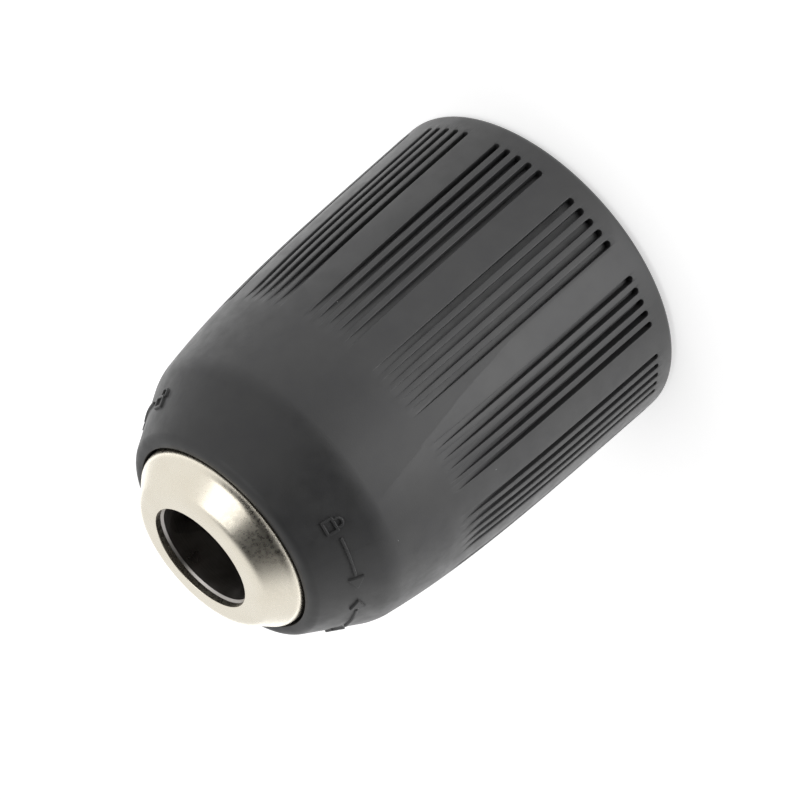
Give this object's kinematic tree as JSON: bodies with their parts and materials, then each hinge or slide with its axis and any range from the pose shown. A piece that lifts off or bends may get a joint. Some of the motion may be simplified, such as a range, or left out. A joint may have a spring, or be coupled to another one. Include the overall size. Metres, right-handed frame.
{
  "type": "drill chuck",
  "caption": "Keyless drill chuck: turning one plastic sleeve drives a split nut that slides three jaws along tilted bores to grip a tool shank; turning on locks it.",
  "frame": {"origin": "centre of the body's rear face, which seats on the spindle's shoulder", "axes": "+Z along the chuck's axis towards the nose, +X through the axis of jaw_1"},
  "size_m": [0.043, 0.043, 0.057],
  "materials": {
    "body_steel": "satin, turned",
    "nickel": "polished nickel plate",
    "sleeve_plastic": "fine matt moulding",
    "cover_plastic": "matt moulding",
    "jaw_steel": "ground, oiled",
    "nut_steel": "turned",
    "band_steel": "drawn",
    "race_steel": "ground",
    "cage_brass": "pressed",
    "spring_steel": "blued strip",
    "ball_steel": "polished"
  },
  "bodies": {
    "body": {"chuck_body": "body_steel", "nosepiece": "nickel", "ratchet_race": "race_steel", "rear_cover": "cover_plastic"},
    "nut": {"nut_half_a": "nut_steel", "nut_half_b": "nut_steel", "nut_band": "band_steel", "front_race": "race_steel", "lock_spring": "spring_steel"},
    "sleeve": {"outer_sleeve": "sleeve_plastic"},
    "bearing": {"ball_cage": "cage_brass", "ball_01": "ball_steel", "ball_02": "ball_steel", "ball_03": "ball_steel", "ball_04": "ball_steel", "ball_05": "ball_steel", "ball_06": "ball_steel", "ball_07": "ball_steel", "ball_08": "ball_steel", "ball_09": "ball_steel", "ball_10": "ball_steel", "ball_11": "ball_steel", "ball_12": "ball_steel", "ball_13": "ball_steel", "ball_14": "ball_steel", "ball_15": "ball_steel", "ball_16": "ball_steel", "ball_17": "ball_steel", "ball_18": "ball_steel"},
    "jaw_1": {"jaw_1": "jaw_steel"},
    "jaw_2": {"jaw_2": "jaw_steel"},
    "jaw_3": {"jaw_3": "jaw_steel"}
  },
  "joints": [
    {"name": "sleeve_turn", "type": "hinge", "parent": "body", "child": "nut", "pos_m": [0, 0, 0.0301], "axis": [0, 0, -1], "range_deg": [0, 3330]},
    {"name": "lock_turn", "type": "hinge", "parent": "nut", "child": "sleeve", "pos_m": [0, 0, 0.0301], "axis": [0, 0, -1], "range_deg": [0, 20]},
    {"name": "cage_turn", "type": "hinge", "parent": "body", "child": "bearing", "pos_m": [0, 0, 0.0238], "axis": [0, 0, -1], "range_deg": [0, 1665.5]},
    {"name": "jaw_1_slide", "type": "slide", "parent": "body", "child": "jaw_1", "axis": [-0.2419, 0, 0.9703], "range_m": [0, 0.02313]},
    {"name": "jaw_2_slide", "type": "slide", "parent": "body", "child": "jaw_2", "axis": [0.121, -0.2095, 0.9703], "range_m": [0, 0.02313]},
    {"name": "jaw_3_slide", "type": "slide", "parent": "body", "child": "jaw_3", "axis": [0.121, 0.2095, 0.9703], "range_m": [0, 0.02313]}
  ],
  "couplings": [
    {"joint": "cage_turn", "follows": "sleeve_turn", "ratio": 0.5},
    {"joint": "jaw_1_slide", "follows": "sleeve_turn", "m_per_rad": 0.00039789},
    {"joint": "jaw_2_slide", "follows": "sleeve_turn", "m_per_rad": 0.00039789},
    {"joint": "jaw_3_slide", "follows": "sleeve_turn", "m_per_rad": 0.00039789}
  ]
}
